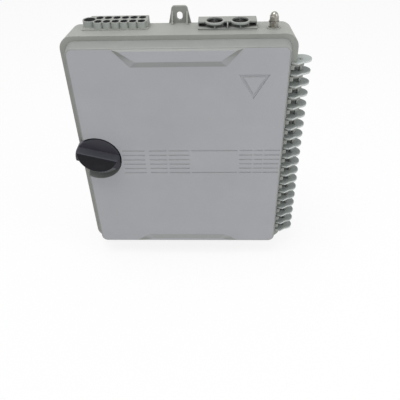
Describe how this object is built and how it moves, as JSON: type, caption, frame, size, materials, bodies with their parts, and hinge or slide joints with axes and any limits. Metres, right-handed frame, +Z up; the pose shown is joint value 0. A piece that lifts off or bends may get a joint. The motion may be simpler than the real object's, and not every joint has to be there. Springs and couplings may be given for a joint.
{
  "type": "fibre termination box",
  "caption": "Wall box for optical fibre: drafted base with cable ports and a finned hinge side, shallow hinged cover with a quarter-turn knob, splice tray and adapter shelf inside.",
  "frame": {"origin": "midway between the two wall fixings, in the plane of the wall", "axes": "+X right and +Z up for someone facing the cover, +Y into the wall"},
  "size_m": [0.3035, 0.0835, 0.3521],
  "materials": {
    "base_grey": "fine matt moulding",
    "cover_grey": "fine matt moulding",
    "black_plastic": "satin moulding",
    "black_rubber": "matt",
    "steel": "zinc plated",
    "dark_steel": "dull",
    "nickel": "nickel plated",
    "sheet_metal": "pale powder coat",
    "tray_white": "satin moulding",
    "tray_foam": "soft",
    "clear_plastic": "clear sheet",
    "adapter_green": "satin moulding",
    "cap_white": "soft moulding"
  },
  "bodies": {
    "base": {"base_shell": "base_grey", "base_posts": "base_grey", "hinge_comb": "base_grey", "main_port_block": "base_grey", "drop_port_block": "base_grey", "drop_port_plugs": "black_rubber", "end_port_plug": "black_rubber", "earth_stud": "nickel", "earth_washers": "nickel", "earth_nuts": "nickel", "earth_dome_nut": "nickel", "hinge_rod": "dark_steel", "splice_tray": "tray_white", "splice_combs": "tray_foam", "tray_lid": "clear_plastic", "tray_screws": "steel", "adapter_bracket": "sheet_metal", "fibre_adapters": "adapter_green", "adapter_dust_caps": "cap_white", "bracket_screws": "steel", "cable_clamps": "sheet_metal", "clamp_screws": "steel"},
    "cover": {"cover": "cover_grey", "cover_knuckles": "cover_grey", "cover_seal": "black_rubber"},
    "latch": {"latch_knob": "black_plastic", "latch_seal": "black_rubber", "latch_cam": "steel", "latch_screw": "steel"}
  },
  "joints": [
    {"name": "cover_hinge", "type": "hinge", "parent": "base", "child": "cover", "pos_m": [0.1465, -0.042, 0], "axis": [0, 0, 1], "range_deg": [0, 120]},
    {"name": "latch_turn", "type": "hinge", "parent": "cover", "child": "latch", "pos_m": [-0.114, -0.06, 0], "axis": [0, 1, 0], "range_deg": [0, 90]}
  ]
}
